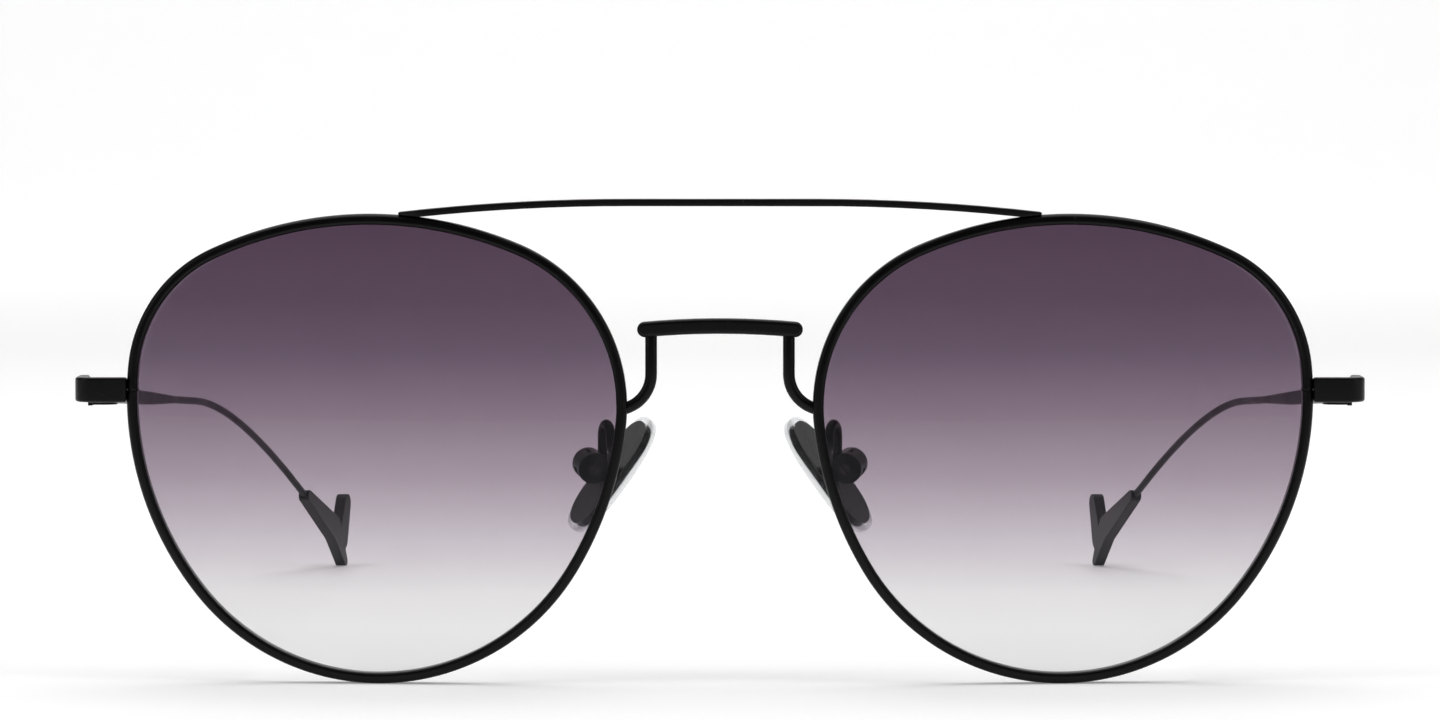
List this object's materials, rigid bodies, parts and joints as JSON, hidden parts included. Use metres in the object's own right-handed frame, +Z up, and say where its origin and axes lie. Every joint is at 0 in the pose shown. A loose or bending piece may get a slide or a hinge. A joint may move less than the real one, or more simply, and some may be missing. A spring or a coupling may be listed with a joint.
{
  "type": "aviator sunglasses",
  "caption": "Wire-framed aviator sunglasses with gradient tinted lenses, a brow bar, a bridge bar on bent legs, rocking silicone nose pads and folding wire temples with flat tips.",
  "frame": {"origin": "middle of the footprint of the open glasses, on the surface that they stand on", "axes": "+X to the wearer's left, +Y from the front back to the temple tips, +Z up"},
  "size_m": [0.1348, 0.1436, 0.0505],
  "materials": {
    "black_metal": "satin black coating",
    "tinted_lens": "polished, tint fading from top to bottom",
    "screw_steel": "blackened, slotted head",
    "black_acetate": "satin black acetate",
    "pad_plastic": "satin",
    "clear_silicone": "clear, soft, glossy"
  },
  "bodies": {
    "front": {"brow_bar": "black_metal", "bridge_bar": "black_metal", "left_rim": "black_metal", "left_lens": "tinted_lens", "left_bridge_leg": "black_metal", "left_endpiece": "black_metal", "left_closing_block_upper": "black_metal", "left_closing_block_lower": "black_metal", "left_rim_lock_screw": "screw_steel", "left_front_hinge": "black_metal", "left_hinge_screw": "screw_steel", "left_pad_arm": "black_metal", "left_pad_box": "black_metal", "left_pad_screw": "screw_steel", "right_rim": "black_metal", "right_lens": "tinted_lens", "right_bridge_leg": "black_metal", "right_endpiece": "black_metal", "right_closing_block_upper": "black_metal", "right_closing_block_lower": "black_metal", "right_rim_lock_screw": "screw_steel", "right_front_hinge": "black_metal", "right_hinge_screw": "screw_steel", "right_pad_arm": "black_metal", "right_pad_box": "black_metal", "right_pad_screw": "screw_steel"},
    "left_temple": {"left_temple": "black_metal", "left_temple_hinge": "black_metal", "left_temple_tip": "black_acetate"},
    "right_temple": {"right_temple": "black_metal", "right_temple_hinge": "black_metal", "right_temple_tip": "black_acetate"},
    "left_pad": {"left_nose_pad": "clear_silicone", "left_pad_core": "pad_plastic"},
    "right_pad": {"right_nose_pad": "clear_silicone", "right_pad_core": "pad_plastic"}
  },
  "joints": [
    {"name": "left_temple_fold", "type": "hinge", "parent": "front", "child": "left_temple", "pos_m": [0.06455, -0.0619, 0.03], "axis": [0, 0, 1], "range_deg": [0, 80]},
    {"name": "right_temple_fold", "type": "hinge", "parent": "front", "child": "right_temple", "pos_m": [-0.06455, -0.0619, 0.03], "axis": [0, 0, -1], "range_deg": [0, 78]},
    {"name": "left_pad_rock", "type": "hinge", "parent": "front", "child": "left_pad", "pos_m": [0.01355, -0.06437, 0.02245], "axis": [0.2784, 0.9397, 0.1986], "range_deg": [-12, 12]},
    {"name": "right_pad_rock", "type": "hinge", "parent": "front", "child": "right_pad", "pos_m": [-0.01355, -0.06437, 0.02245], "axis": [-0.2784, 0.9397, 0.1986], "range_deg": [-12, 12]}
  ]
}
